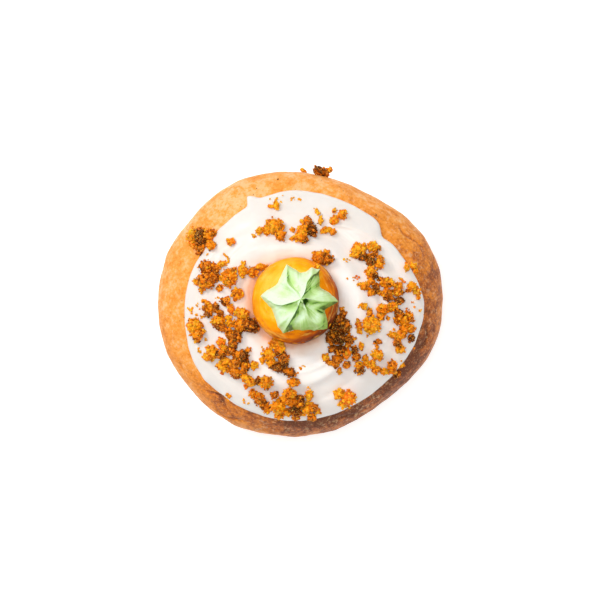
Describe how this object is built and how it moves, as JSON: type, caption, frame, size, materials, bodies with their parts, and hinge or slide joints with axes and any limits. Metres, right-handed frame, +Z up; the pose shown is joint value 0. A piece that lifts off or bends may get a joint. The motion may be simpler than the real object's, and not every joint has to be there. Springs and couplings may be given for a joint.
{
  "type": "filled yeast doughnut",
  "caption": "Round filled yeast doughnut with spread white icing, an orange piped dome, a green star rosette and scattered cake crumbs.",
  "frame": {"origin": "middle of the flat underside that the bun rests on, below the middle of its outline", "axes": "+Z up through the rosette; +X along the bun's widest direction"},
  "size_m": [0.0928, 0.0883, 0.0633],
  "materials": {
    "dough": "satin",
    "icing": "satin",
    "orange_cream": "satin",
    "green_cream": "matte",
    "crumbs": "matte"
  },
  "bodies": {
    "root": {"bun": "dough", "icing": "icing", "dome": "orange_cream", "rosette": "green_cream"}
  },
  "joints": []
}
